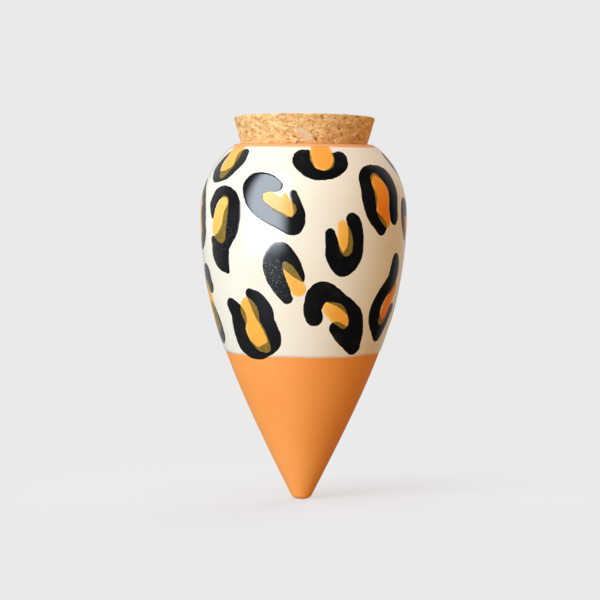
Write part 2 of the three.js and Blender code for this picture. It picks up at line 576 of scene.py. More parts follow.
@dataclass(frozen=True)
class PotWall:
    """The pot's outer wall, from the spike's tip to the edge of the lip.

    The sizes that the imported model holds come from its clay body's box; the rest shape the two curves.
    """

    belly_radius: float
    tip: float
    tip_flat_radius: float = 1.55 * MM
    tip_round: float = 3.0 * MM
    spike_half_angle: float = math.radians(26.9)
    spike_pull: float = 59.0 * MM
    flank_height: float = 114.2 * MM
    belly_pull_down: float = 35.4 * MM
    shoulder_rise: float = 26.8 * MM
    belly_pull_up: float = 13.2 * MM
    shoulder_lean: float = math.radians(47.7)
    shoulder_pull: float = 9.1 * MM
    mouth_radius: float = 25.4 * MM
    lip_land: float = 0.5 * MM
    lip_round: float = 3.8 * MM
    curve_steps: int = 600
    normal_step: float = 0.05 * MM
    curve: np.ndarray = field(init=False, repr=False)
    climbs: np.ndarray = field(init=False, repr=False)

    def __post_init__(self) -> None:
        """Works out the wall's curve and the climb at each of its points."""
        flank = bezier([
            self.flank_foot,
            self.flank_foot + self.spike_pull * heading(UP - self.spike_half_angle),
            self.belly - np.array([0.0, self.belly_pull_down]),
            self.belly,
        ], self.curve_steps)
        shoulder = bezier([
            self.belly,
            self.belly + np.array([0.0, self.belly_pull_up]),
            self.lip_edge - self.shoulder_pull * heading(UP + self.shoulder_lean),
            self.lip_edge,
        ], self.curve_steps)
        curve = np.vstack([flank, shoulder[1:]])
        length = np.concatenate([[0.0], np.cumsum(np.hypot(*np.diff(curve, axis=0).T))])
        object.__setattr__(self, "curve", curve)
        object.__setattr__(self, "climbs", length - np.interp(0.0, curve[:, 1], length))

    @property
    def tip_centre(self) -> np.ndarray:
        """The centre of the rounded edge at the tip."""
        return np.array([self.tip_flat_radius, self.tip + self.tip_round])

    @property
    def flank_foot(self) -> np.ndarray:
        """The place where the tip's rounding turns into the flank."""
        return self.tip_centre + self.tip_round * heading(-self.spike_half_angle)

    @property
    def belly(self) -> np.ndarray:
        """The widest place."""
        return np.array([self.belly_radius, self.tip + self.flank_height])

    @property
    def lip_edge(self) -> np.ndarray:
        """The outer edge of the lip."""
        reach = self.mouth_radius + self.lip_land + self.lip_round * math.cos(self.shoulder_lean)
        return np.array([reach, self.belly[1] + self.shoulder_rise])

    @property
    def foot_climb(self) -> float:
        """The climb at the foot of the flank, which is below the soil line."""
        return float(self.climbs[0])

    @property
    def lip_climb(self) -> float:
        """The climb at the edge of the lip."""
        return float(self.climbs[-1])

    def normal(self, climb: np.ndarray) -> np.ndarray:
        """Gives the outward direction of the wall.

        Args:
            climb: the climbs that are asked about.

        Returns:
            The direction at each climb, as (radius, height).
        """
        way = self.at(climb + self.normal_step) - self.at(climb - self.normal_step)
        way /= np.linalg.norm(way, axis=-1, keepdims=True)
        return np.stack([way[..., 1], -way[..., 0]], axis=-1)

    def at(self, climb: np.ndarray, offset: np.ndarray | float = 0.0) -> np.ndarray:
        """Gives places on the wall's outline.

        Args:
            climb: the climbs that are asked about.
            offset: how far each place is moved outwards.

        Returns:
            Radius and height at each climb.
        """
        held = np.clip(climb, self.foot_climb, self.lip_climb)
        place = np.stack([np.interp(held, self.climbs, self.curve[:, axis]) for axis in (0, 1)], axis=-1)
        if np.any(offset):
            place = place + self.normal(held) * np.broadcast_to(offset, held.shape)[..., None]
        return place

    def on_wall(self, angle: np.ndarray, climb: np.ndarray, offset: np.ndarray | float = 0.0) -> np.ndarray:
        """Gives places in the frame for angles and climbs, moved outwards by an offset."""
        place = self.at(climb, offset)
        return around(place[..., 0], angle, place[..., 1])

    def facing(self, angle: np.ndarray, climb: np.ndarray) -> np.ndarray:
        """Gives the outward direction in the frame for angles and climbs."""
        way = self.normal(climb)
        return around(way[..., 0], angle, way[..., 1])


@dataclass(frozen=True)
class Grain:
    """A noise with lumps of one size."""

    size: float
    seed: float
    detail: float = 3.0

    def value(self, graph: NodeGraph, place: Wire) -> Wire:
        """Gives the noise at a place, from 0 to 1."""
        return graph.noise(place, self.size, self.detail, self.seed)

    def swirl(self, graph: NodeGraph, place: Wire) -> Wire:
        """Gives the noise at a place as a vector that swings about zero."""
        return graph.swirl(place, self.size, self.detail, self.seed)


@dataclass(frozen=True)
class Patches(Grain):
    """Patches of a noise, which set in at one level of it and are full at another."""

    start: float = 0.5
    full: float = 0.75

    def share(self, graph: NodeGraph, place: Wire) -> Wire:
        """Gives 1 inside the patches and 0 outside."""
        return graph.ease(self.value(graph, place), self.start, self.full)


@dataclass(frozen=True)
class TerracottaFinish:
    """Bare fired clay: smooth, finely grained, with a soft sheen, a few faint flecks and a lip made pale by a
    painted highlight.

    The grain's shade and roughness are what the grain adds to those of the clay.
    """

    clays: Stops = (
        (0.32, (0.98, 0.315, 0.047)),
        (0.5, (0.99, 0.335, 0.056)),
        (0.7, (0.99, 0.355, 0.066)),
    )
    fleck: Colour = (0.60, 0.19, 0.045)
    # painted highlight colour for the lip, and how far below the lip top it sets in and is full
    lip_highlight: Colour = (0.88, 0.39, 0.15)
    lip_highlight_start: float = 2.5 * MM
    lip_highlight_full: float = 1.25 * MM
    clouds: Grain = Grain(22.0 * MM, seed=1.0)
    grain: Grain = Grain(0.5 * MM, seed=2.0)
    flecks: Patches = Patches(0.8 * MM, seed=3.0, detail=1.0, start=0.72, full=0.8)
    fleck_share: float = 0.3
    shade: float = 0.97
    grain_shade: float = 0.06
    roughness: float = 0.55
    grain_roughness: float = 0.10
    grain_depth: float = 0.02 * MM
    bump: float = 0.3
    refraction: float = 1.6
    mirror: float = 0.7

    def material(self) -> bpy.types.Material:
        """Makes the clay's nodes.

        Returns:
            The material.
        """
        shader = SurfaceShader("terracotta")
        place = shader.place()
        body = shader.ramp(self.clouds.value(shader, place), self.clays)
        flecked = shader.mix(self.fleck_share * self.flecks.share(shader, place), body, self.fleck)
        # painted highlight: the clay is painted paler over the last millimetres below the lip top, standing
        # in for light from above and sheen
        lip_highlight_share = shader.ease(shader.carried("below_lip"), self.lip_highlight_start, self.lip_highlight_full)
        fine = self.grain.value(shader, place)
        shade = self.shade + self.grain_shade * fine
        return shader.finish(
            Base_Color=shader.scaled(shader.mix(lip_highlight_share, flecked, self.lip_highlight), shade),
            Roughness=self.roughness + self.grain_roughness * fine,
            Normal=shader.bump(fine, self.bump, self.grain_depth),
            IOR=self.refraction,
            Specular_IOR_Level=self.mirror,
        )


@dataclass(frozen=True)
class Gloss:
    """The clear shine that the cream coat and its painted spots share."""

    refraction: float = 1.6
    mirror: float = 1.0
    roughness: float = 0.08
    smears: Grain = Grain(6.0 * MM, seed=5.0)
    smear_roughness: float = 0.05
    ripples: Grain = Grain(5.0 * MM, seed=4.0, detail=2.0)
    ripple_depth: float = 0.015 * MM
    bump: float = 0.5

    def finish(self, shader: SurfaceShader, colour: Wire, rough: Wire | float = 0.0) -> bpy.types.Material:
        """Ends a material with this shine.

        Args:
            shader: the material's nodes.
            colour: its colour.
            rough: what is added to the roughness.

        Returns:
            The material.
        """
        place = shader.place()
        return shader.finish(
            Base_Color=colour,
            Roughness=self.roughness + self.smear_roughness * self.smears.value(shader, place) + rough,
            Normal=shader.bump(self.ripples.value(shader, place), self.bump, self.ripple_depth),
            IOR=self.refraction,
            Specular_IOR_Level=self.mirror,
        )


@dataclass(frozen=True)
class CreamFinish:
    """Cream glaze, thin and rosy at its lower edge where the clay shows through."""

    cream: Colour = (0.94, 0.85, 0.69)
    deep: Colour = (0.92, 0.815, 0.64)
    rosy: Colour = (0.96, 0.72, 0.59)
    clouds: Patches = Patches(13.0 * MM, seed=6.0, start=0.42)
    thin_edge: float = 1.5 * MM
    rosy_share: float = 0.9
    ragged: Grain = Grain(2.5 * MM, seed=7.0, detail=2.0)
    ragged_swing: float = 0.8 * MM
    gloss: Gloss = Gloss()

    def material(self) -> bpy.types.Material:
        """Makes the glaze's nodes.

        Returns:
            The material.
        """
        shader = SurfaceShader("cream_glaze")
        place = shader.place()
        body = shader.mix(self.clouds.share(shader, place), self.cream, self.deep)
        swing = (self.ragged.value(shader, place) - NOISE_MIDDLE) * self.ragged_swing
        thin = 1.0 - shader.ease(shader.carried("rise") - swing, 0.0, self.thin_edge)
        return self.gloss.finish(shader, shader.mix(self.rosy_share * thin, body, self.rosy))


@dataclass(frozen=True)
class BlackPaintFinish:
    """Black brushed paint under the gloss, with pale specks where the brush ran dry."""

    black: Colour = (0.0035, 0.0035, 0.0042)
    worn: Colour = (0.012, 0.0115, 0.011)
    ground: Colour = (0.40, 0.42, 0.44)
    clouds: Patches = Patches(5.0 * MM, seed=8.0)
    specks: Patches = Patches(0.55 * MM, seed=9.0, detail=2.0, start=0.56, full=0.68)
    speck_share: float = 0.6
    dry_roughness: float = 0.1
    gloss: Gloss = Gloss()

    def material(self) -> bpy.types.Material:
        """Makes the black paint's nodes.

        Returns:
            The material.
        """
        shader = SurfaceShader("black_paint")
        place = shader.place()
        body = shader.mix(self.clouds.share(shader, place), self.black, self.worn)
        dry = shader.carried("dry")
        bared = self.speck_share * self.specks.share(shader, place) * dry
        return self.gloss.finish(shader, shader.mix(bared, body, self.ground), self.dry_roughness * dry)


@dataclass(frozen=True)
class AmberPaintFinish:
    """Amber to orange brushed paint, yellower where it thins out and olive where it lies on the black."""

    ambers: Stops = (
        (0.0, (0.95, 0.61, 0.14)),
        (0.3, (0.98, 0.48, 0.085)),
        (0.55, (1.00, 0.42, 0.050)),
        (1.0, (1.00, 0.24, 0.014)),
    )
    thick: Colour = (0.95, 0.35, 0.035)
    thin: Colour = (1.00, 0.63, 0.17)
    olive: Colour = (0.27, 0.165, 0.022)
    dark_olive: Colour = (0.17, 0.105, 0.014)
    clouds: Patches = Patches(4.0 * MM, seed=11.0)
    cloud_share: float = 0.4
    thin_edge: float = 1.5 * MM
    thin_share: float = 0.4
    streaks: Patches = Patches(1.6 * MM, seed=12.0, detail=2.0, start=0.4)
    overlap: float = 0.2 * MM
    gloss: Gloss = Gloss(mirror=0.6, roughness=0.24)

    def material(self) -> bpy.types.Material:
        """Makes the amber paint's nodes.

        Returns:
            The material.
        """
        shader = SurfaceShader("amber_paint")
        place = shader.place()
        fresh = shader.ramp(shader.carried("warmth"), self.ambers)
        clouded = shader.mix(self.cloud_share * self.clouds.share(shader, place), fresh, self.thick)
        thinned = shader.ease(shader.carried("edge"), -self.thin_edge, 0.0)
        body = shader.mix(self.thin_share * thinned, clouded, self.thin)
        over = shader.mix(self.streaks.share(shader, place), self.olive, self.dark_olive)
        on_black = 1.0 - shader.ease(shader.carried("under"), -self.overlap, 0.0)
        return self.gloss.finish(shader, shader.mix(on_black, body, over))


@dataclass(frozen=True)
class Blot:
    """An egg-shaped mark with a soft edge, given by its middle and half-sizes, that leans about Y."""

    middle: Triple
    half: Triple
    lean: float = 0.0
    core: float = 0.8

    def share(self, shader: SurfaceShader, where: Wire) -> Wire:
        """Gives 1 in the core of the mark and 0 outside it.

        Args:
            shader: the material's nodes.
            where: the place that is looked at.

        Returns:
            The share of the mark at that place.
        """
        rotation = (0.0, self.lean, 0.0)
        feeds = {"Vector": where, "Location": self.middle, "Scale": self.half, "Rotation": rotation}
        local = shader.node("ShaderNodeMapping", {"vector_type": "TEXTURE"}, feeds)["Vector"]
        return shader.ease(shader.distance(local, (0.0, 0.0, 0.0)), 1.0, self.core)


@dataclass(frozen=True)
class CorkFinish:
    """Pressed cork: small flattened granules of many tans, broken dark seams, specks and one pale chip.

    The nicks are small dark marks on the front, as (across, height, half-width) in millimetres. The fibres'
    shade and roughness are what the fibres add to those of the chip and the cork.
    """

    tans: Stops = (
        (0.14, (0.47, 0.200, 0.055)),
        (0.36, (0.71, 0.365, 0.120)),
        (0.60, (0.84, 0.505, 0.205)),
        (0.88, (0.92, 0.67, 0.36)),
    )
    granule: float = 2.6 * MM
    granule_weight: float = 0.34
    crumb: float = 1.0 * MM
    crumb_weight: float = 0.38
    fibres: Grain = Grain(0.3 * MM, seed=14.0, detail=2.0)
    fibre_weight: float = 0.33
    flattened: float = 1.8
    swirls: Grain = Grain(1.4 * MM, seed=13.0, detail=2.0)
    warp: float = 1.2 * MM
    seam: Colour = (0.34, 0.13, 0.035)
    seam_width: float = 0.11
    seam_stretches: Patches = Patches(2.8 * MM, seed=15.0, detail=1.0, start=0.5, full=0.58)
    bark: Colour = (0.16, 0.058, 0.018)
    specks: Patches = Patches(1.0 * MM, seed=16.0, detail=1.0, start=0.69, full=0.75)
    mark_share: float = 0.85
    chip: Blot = Blot(
        middle=(0.1 * MM, -26.6 * MM, 87.6 * MM),
        half=(4.3 * MM, 4.0 * MM, 1.6 * MM),
        lean=math.radians(35.0),
    )
    # chip colour from its left side to its right; the paler right side is a painted highlight over the chip's
    # own pale colour
    chip_start: Colour = (0.68, 0.45, 0.33)
    chip_highlight: Colour = (0.70, 0.58, 0.37)
    chip_share: float = 0.8
    chip_shade: float = 0.7
    fibre_shade: float = 0.6
    nicks: tuple[Triple, ...] = ((-3.8, 86.4, 0.6), (4.5, 85.6, 0.7), (-2.6, 84.9, 0.55))
    ragged: float = 4.0 * MM
    # painted shade: how deep the cork is sunk where its pits start and are full of the dark seam colour, and
    # how much of it they take
    pit_shade_start: float = 0.2 * MM
    pit_shade_full: float = 0.45 * MM
    pit_shade_share: float = 0.8
    roughness: float = 0.75
    fibre_roughness: float = 0.15
    fibre_depth: float = 0.06 * MM
    bump: float = 0.4
    mirror: float = 0.15

    def material(self) -> bpy.types.Material:
        """Makes the cork's nodes.

        Returns:
            The material.
        """
        shader = SurfaceShader("cork")
        rest = shader.carried("rest_place", "Vector")
        swirl = self.swirls.swirl(shader, rest)
        pressed = shader.vector("MULTIPLY", shader.plus(rest, swirl, self.warp), (1.0, 1.0, self.flattened))
        fibre = self.fibres.value(shader, pressed)
        granules = self._granules(shader, pressed, fibre)
        marked = self._marks(shader, rest, shader.plus(rest, swirl, self.ragged), fibre, granules)
        # painted shade in the pits: the colour darkens towards the seam colour where the cork is sunk deepest
        pit = shader.ease(shader.carried("sunk"), self.pit_shade_start, self.pit_shade_full)
        return shader.finish(
            Base_Color=shader.mix(self.pit_shade_share * pit, marked, self.seam),
            Roughness=self.roughness + self.fibre_roughness * fibre,
            Normal=shader.bump(fibre, self.bump, self.fibre_depth),
            Specular_IOR_Level=self.mirror,
        )

    def _granules(self, shader: SurfaceShader, place: Wire, fibre: Wire) -> Wire:
        """Gives the colour of the granules, with broken seams between them and specks of bark.

        Args:
            shader: the material's nodes.
            place: the place on the pressed cork.
            fibre: the fine noise.

        Returns:
            The colour.
        """
        granule = self.granule_weight * shader.tone(place, self.granule, GRANULE_SEED)
        crumb = self.crumb_weight * shader.tone(place, self.crumb, CRUMB_SEED)
        body = shader.ramp(granule + crumb + self.fibre_weight * fibre, self.tans)
        seam = shader.seam(place, self.crumb, CRUMB_SEED, self.seam_width)
        dashes = self.seam_stretches.share(shader, place) * seam
        dashed = shader.mix(self.mark_share * dashes, body, self.seam)
        return shader.mix(self.mark_share * self.specks.share(shader, place), dashed, self.bark)

    def _marks(self, shader: SurfaceShader, rest: Wire, torn: Wire, fibre: Wire, body: Wire) -> Wire:
        """Gives the colour with the pale chip and the nicks laid over it.

        Args:
            shader: the material's nodes.
            rest: the place on the smooth cork.
            torn: that place moved about, which gives the marks ragged edges.
            fibre: the fine noise.
            body: the colour below.

        Returns:
            The colour.
        """
        # painted highlight: the chip is painted paler towards +X across its width
        across = shader.part(rest, "X") - self.chip.middle[0]
        reach = self.chip.half[0]
        tint = shader.mix(shader.ease(across, -reach, reach), self.chip_start, self.chip_highlight)
        pale = shader.scaled(tint, self.chip_shade + self.fibre_shade * fibre)
        marked = shader.mix(self.chip_share * self.chip.share(shader, torn), body, pale)
        front, depth = self.chip.middle[1], self.chip.half[1]
        for side, height, half in self.nicks:
            nick = Blot((side * MM, front, height * MM), (half * MM, depth, half * MM))
            marked = shader.mix(self.mark_share * nick.share(shader, torn), marked, self.bark)
        return marked


@dataclass
class ClayBody:
    """The hollow terracotta shell: spike, belly, shoulder, lip, cork seat and water chamber.

    The chamber's outline is worked out finer than its rows, so that it ends close to its nose.
    """

    wall: PotWall
    finish: TerracottaFinish = TerracottaFinish()
    thickness: float = 4.0 * MM
    seat_depth: float = 3.5 * MM
    seat_lean: float = math.radians(17.0)
    chamber_nose_radius: float = 3.6 * MM
    columns: int = 256
    bare_rows: int = 90
    hidden_rows: int = 48
    chamber_rows: int = 70
    chamber_finer: int = 4
    round_steps: int = 10
    crease: float = math.radians(40.0)

    def profile(self) -> np.ndarray:
        """Draws the closed outline, from the tip up the outside, over the lip and down the inside.

        Returns:
            Radius and height of each point.
        """
        wall = self.wall
        lip_centre = wall.lip_edge - wall.lip_round * heading(wall.shoulder_lean)
        lip_top = lip_centre[1] + wall.lip_round
        seat_foot = wall.mouth_radius - self.seat_depth * math.tan(self.seat_lean)
        fine_rows = self.chamber_finer * self.chamber_rows
        inner = wall.at(np.linspace(wall.lip_climb, wall.foot_climb, fine_rows), -self.thickness)
        inner = inner[inner[:, 0] > self.chamber_nose_radius][::self.chamber_finer]
        nose_start = inner[-1]
        nose_round = nose_start[0] / math.cos(wall.spike_half_angle)
        nose_centre = (0.0, nose_start[1] + nose_start[0] * math.tan(wall.spike_half_angle))
        return np.vstack([
            [[0.0, wall.tip]],
            arc(wall.tip_centre, wall.tip_round, -UP, -wall.spike_half_angle, self.round_steps)[:-1],
            wall.at(np.linspace(wall.foot_climb, 0.0, self.bare_rows, endpoint=False)),
            wall.at(np.linspace(0.0, wall.lip_climb, self.hidden_rows, endpoint=False)),
            arc(lip_centre, wall.lip_round, wall.shoulder_lean, UP, self.round_steps),
            [[wall.mouth_radius, lip_top]],
            [[seat_foot, lip_top - self.seat_depth]],
            inner,
            arc(nose_centre, nose_round, -wall.spike_half_angle, -UP, self.round_steps)[1:],
        ])

    def build(self) -> bpy.types.Object:
        """Makes the shell and puts it on the vessel.

        Returns:
            The finished piece.
        """
        points, faces = turned(self.profile(), self.columns)
        mesh = mesh_of("clay_shell", points, faces)
        carry(mesh, "below_lip", points[:, 2].max() - points[:, 2])
        mesh.set_sharp_from_angle(angle=self.crease)
        mesh.materials.append(self.finish.material())
        piece = new_piece("clay_shell", mesh)
        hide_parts("clay_body")
        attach(piece, "vessel")
        return piece


@dataclass
class GlazeCoat:
    """The cream coat from the soil line to the lip, with a hand-dipped lower edge.

    The dip's waves are given as (how many go round, how far they swing, where they start).
    """

    wall: PotWall
    finish: CreamFinish = CreamFinish()
    face: float = 0.30 * MM
    back: float = 0.02 * MM
    feather: float = 0.9 * MM
    bare_lip: float = 0.45 * MM
    overrun: float = 1.2 * MM
    dip_level: float = 0.85 * MM
    dip_waves: tuple[tuple[int, float, float], ...] = (
        (2, 0.30 * MM, -UP),
        (5, 0.15 * MM, 2.1),
        (11, 0.10 * MM, 4.0),
    )
    columns: int = 320
    edge_rows: int = 5
    face_rows: int = 118
    back_rows: int = 10
    crease: float = math.radians(60.0)

    @property
    def upper_edge(self) -> float:
        """The climb of the coat's upper edge, which leaves the lip bare."""
        return self.wall.lip_climb - self.bare_lip

    def lower_edge(self, angle: np.ndarray) -> np.ndarray:
        """Gives the climb of the coat's lower edge, which waves a little round the pot."""
        swings = [swing * np.sin(waves * angle + start) for waves, swing, start in self.dip_waves]
        return self.dip_level + sum(swings)

    def stand(self, climb: np.ndarray, low: np.ndarray) -> np.ndarray:
        """Gives how far out the face stands, thinning out towards both edges.

        Args:
            climb: the climbs that are asked about.
            low: the climb of the lower edge at each of them.

        Returns:
            The distance from the wall.
        """
        inside = np.minimum(climb - low, self.upper_edge - climb)
        share = np.clip(inside / self.feather, 0.0, 1.0)
        return self.back + (self.face - self.back) * share * share * (3.0 - 2.0 * share)

    def build(self) -> bpy.types.Object:
        """Makes the coat and puts it on the vessel.

        Returns:
            The finished piece.
        """
        angle = all_round(self.columns)
        edge = self.feather / self.upper_edge
        rim = np.linspace(0.0, edge, self.edge_rows, endpoint=False)
        face = np.concatenate([rim, np.linspace(edge, 1.0 - edge, self.face_rows), 1.0 - rim[::-1]])
        back = np.linspace(1.0, 0.0, self.back_rows + 2)[1:-1]
        low = self.lower_edge(angle)
        climb = low + (self.upper_edge - low) * np.concatenate([face, back])[:, None]
        offset = self.stand(climb, low)
        offset[len(face):] = self.back
        points = self.wall.on_wall(angle, climb, offset)
        mesh = mesh_of("glaze_skin", points, sheet_faces(len(climb), self.columns, closed=True))
        mesh.set_sharp_from_angle(angle=self.crease)
        carry(mesh, "rise", (climb - low).ravel())
        mesh.materials.append(self.finish.material())
        piece = new_piece("glaze_skin", mesh)
        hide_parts("glaze_coat")
        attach(piece, "vessel")
        return piece

    def face_grid(self, cell: float) -> bpy.types.Mesh:
        """Makes an open grid on the coat's face and just below it, for the paint to be lifted from.

        Args:
            cell: how wide and tall a cell of the grid is.

        Returns:
            The grid's mesh.
        """
        columns = round(math.tau * self.wall.belly_radius / cell)
        rows = round(self.upper_edge / cell)
        angle = all_round(columns)
        low = self.lower_edge(angle)
        start = low - self.overrun
        climb = start + (self.upper_edge - start) * np.linspace(0.0, 1.0, rows)[:, None]
        points = self.wall.on_wall(angle, climb, self.stand(climb, low))
        return mesh_of("face_grid", points, sheet_faces(rows, columns, closed=False))


class Paint(Enum):
    """The two paints that the spots are brushed with."""

    BLACK = "black"
    AMBER = "amber"


Stroke = tuple[Triple, ...]


@dataclass(frozen=True)
class SpotShape:
    """One spot's brush strokes, as (across, up, half-width) in millimetres on the wall."""

    black: tuple[Stroke, ...]
    amber: tuple[Stroke, ...]

    def strokes(self, paint: Paint) -> tuple[Stroke, ...]:
        """Gives the strokes of one paint."""
        return self.black if paint is Paint.BLACK else self.amber


@dataclass(frozen=True)
class Spot:
    """A spot's place on the wall, in degrees and millimetres, how it is turned there, and its paint.

    The amber's warmth goes from yellow at 0 to orange at 1 and deepens along each stroke. How dry the black
    brush ran goes from 0 to 1, most of all at one share of each stroke.
    """

    shape: SpotShape
    angle: float
    climb: float
    warmth: float = 0.2
    deepens: float = 0.1
    dry: float = 0.05
    dry_at: float = 0.3
    turn: float = 0.0
    mirrored: bool = False

    def placed(self, stroke: Stroke) -> np.ndarray:
        """Turns a stroke the way this spot is turned.

        Args:
            stroke: the stroke as its shape has it.

        Returns:
            The stroke's points, in metres from the spot's middle.
        """
        points = np.array(stroke) * MM
        if self.mirrored:
            points[:, 0] *= -1.0
        cosine, sine = math.cos(math.radians(self.turn)), math.sin(math.radians(self.turn))
        across = points[:, 0] * cosine - points[:, 1] * sine
        up = points[:, 0] * sine + points[:, 1] * cosine
        return np.stack([across, up, points[:, 2]], axis=1)


LEANING_CUP = SpotShape(
    black=(
        ((5.6, 5.2, 3.0), (6.9, 1.7, 2.9), (6.2, -1.4, 2.1), (2.8, -4.3, 2.4), (-3.6, -5.4, 2.4)),
        ((-3.6, -5.4, 2.4), (-5.6, -3.6, 2.8), (-6.9, -1.0, 3.0), (-6.6, 1.8, 2.3), (-5.2, 5.9, 0.9)),
    ),
    amber=(((-0.8, 7.6, 4.6), (0.6, 3.6, 4.5), (1.0, -0.3, 4.1), (0.5, -3.4, 2.7)),),
)
RIM_CUP = SpotShape(
    black=(
        ((-7.4, 4.4, 3.2), (-7.9, 1.1, 3.8), (-5.1, -3.4, 2.8), (-0.6, -4.7, 2.1),
         (3.9, -3.3, 2.4), (7.1, 0.3, 3.1), (7.3, 3.7, 2.9)),
        ((-9.4, 4.7, 1.5), (-5.5, 6.1, 1.5)),
        ((5.4, 4.6, 1.5), (7.8, 3.4, 2.6)),
    ),
    amber=(((0.0, 7.9, 3.8), (0.0, 3.4, 5.0), (0.3, 1.3, 4.3)),),
)
TALL_ARCH = SpotShape(
    black=(((-1.0, -11.0, 3.3), (-6.5, -5.6, 2.8), (-6.9, -0.2, 3.9), (-7.3, 4.0, 3.3), (-7.4, 7.2, 3.2),
            (-5.0, 10.4, 2.8), (-1.1, 11.7, 2.5), (5.2, 9.1, 4.0), (8.0, 3.5, 3.8), (7.3, -2.9, 3.5),
            (7.7, -7.0, 3.3)),),
    amber=(((-1.6, 7.4, 3.1), (0.1, 2.2, 4.5), (-0.2, -3.0, 3.8), (0.6, -6.2, 3.5), (2.4, -9.3, 2.2)),),
)
HOOK_WITH_TAIL = SpotShape(
    black=(
        ((-6.8, 5.8, 1.2), (-6.5, 10.2, 2.5), (-3.0, 14.5, 2.7), (3.2, 14.9, 2.2), (6.6, 10.5, 3.3),
         (5.6, 5.3, 4.6), (4.1, 0.6, 4.4), (-0.2, -4.8, 4.7), (-2.1, -7.2, 5.7), (-1.2, -11.1, 4.6),
         (1.8, -15.5, 1.3)),
        ((-6.7, -3.5, 1.4), (-3.8, -5.7, 3.8)),
    ),
    amber=(((1.3, 11.4, 2.6), (-0.9, 5.7, 4.4), (-2.1, 1.0, 4.7), (-0.7, -1.9, 3.0)),),
)
BIG_BOWL = SpotShape(
    black=(((0.3, 7.4, 2.5), (-4.1, 8.4, 4.0), (-9.0, 7.6, 4.9), (-9.0, 3.2, 4.2), (-6.3, -1.3, 3.4),
            (2.2, -6.1, 3.3), (7.6, -8.2, 3.4), (9.6, -3.7, 2.4), (8.6, 0.6, 1.9), (7.1, 4.1, 1.5)),),
    amber=(
        ((-2.7, 2.8, 2.4), (0.8, 0.5, 3.2), (5.4, -1.6, 3.3)),
        ((3.7, 3.3, 1.2), (3.9, 1.0, 2.3)),
    ),
)
HORSESHOE = SpotShape(
    black=(((-5.4, 3.5, 2.0), (-4.5, -0.5, 2.7), (-3.2, -5.2, 3.6), (0.4, -9.4, 3.9), (4.0, -5.6, 4.3),
            (5.3, -1.8, 3.8), (5.4, 3.0, 3.5), (4.6, 7.6, 3.2), (3.7, 9.1, 2.6)),),
    amber=(((-0.6, 6.8, 2.0), (0.5, 3.4, 3.1), (1.1, 0.2, 3.3), (1.5, -2.5, 2.8)),),
)
COMMA = SpotShape(
    black=(((-0.4, -9.8, 2.3), (-3.3, -4.7, 3.5), (-5.7, 1.7, 4.0), (-5.4, 6.4, 3.6), (-2.4, 9.3, 3.1),
            (0.8, 4.9, 3.7), (3.5, 1.2, 2.7), (5.8, -2.4, 0.9)),),
    amber=(((-0.6, 3.4, 1.5), (1.2, 0.1, 2.7), (4.1, -5.9, 3.1)),),
)
LONG_FLAME = SpotShape(
    black=(
        ((2.6, 14.6, 3.1), (3.0, 10.8, 4.4), (1.5, 6.5, 4.1), (-3.6, 1.9, 3.3), (-6.4, -3.7, 3.4),
         (-5.4, -9.0, 3.6), (-0.2, -14.4, 3.8)),
        ((-0.2, -14.4, 3.8), (3.2, -10.2, 3.0), (6.6, -5.0, 2.6)),
    ),
    amber=(((5.9, 3.8, 2.1), (1.5, -2.0, 3.2), (-0.3, -8.8, 2.8)),),
)
TWO_HORNS = SpotShape(
    black=(((-9.4, 7.2, 3.0), (-6.4, 3.1, 4.2), (-7.3, -2.4, 3.5), (-5.0, -9.3, 4.1), (0.6, -12.2, 2.8),
            (7.5, -8.5, 2.7), (8.3, -4.3, 3.2), (6.6, 1.4, 3.4), (5.5, 5.6, 4.3), (3.4, 9.7, 3.6),
            (1.1, 12.0, 2.3)),),
    amber=(((-1.1, 8.7, 2.2), (-0.6, 5.2, 4.4), (0.2, 0.9, 3.7), (1.0, -3.8, 4.6), (2.4, -7.5, 3.9),
            (3.8, -9.6, 2.6)),),
)
BROAD_HOOK = SpotShape(
    black=(
        ((-9.5, 1.5, 3.5), (-10.4, 5.7, 3.7), (-8.8, 10.7, 4.4), (-5.6, 11.7, 3.9), (1.2, 8.0, 2.9),
         (7.2, 3.0, 3.2), (8.7, -4.0, 3.9), (8.9, -11.0, 3.3)),
        ((-0.1, -2.9, 3.0), (4.2, -6.6, 3.8), (8.9, -10.9, 3.4)),
    ),
    amber=(((-4.3, 5.6, 2.4), (-0.7, 3.4, 3.8), (2.9, -0.9, 2.3)),),
)
SPLIT_RING = SpotShape(
    black=(
        ((-8.0, 6.0, 2.6), (-6.0, 11.5, 3.0), (-1.5, 13.7, 3.6), (0.8, 8.6, 3.4)),
        ((-1.4, 0.0, 2.4), (0.1, -6.5, 3.6), (0.2, -12.0, 2.8), (-5.0, -12.5, 2.6), (-8.5, -7.0, 2.4)),
    ),
    amber=(((-3.8, 7.0, 3.9), (-2.9, -0.5, 4.3), (-1.1, -7.4, 3.5)),),
)

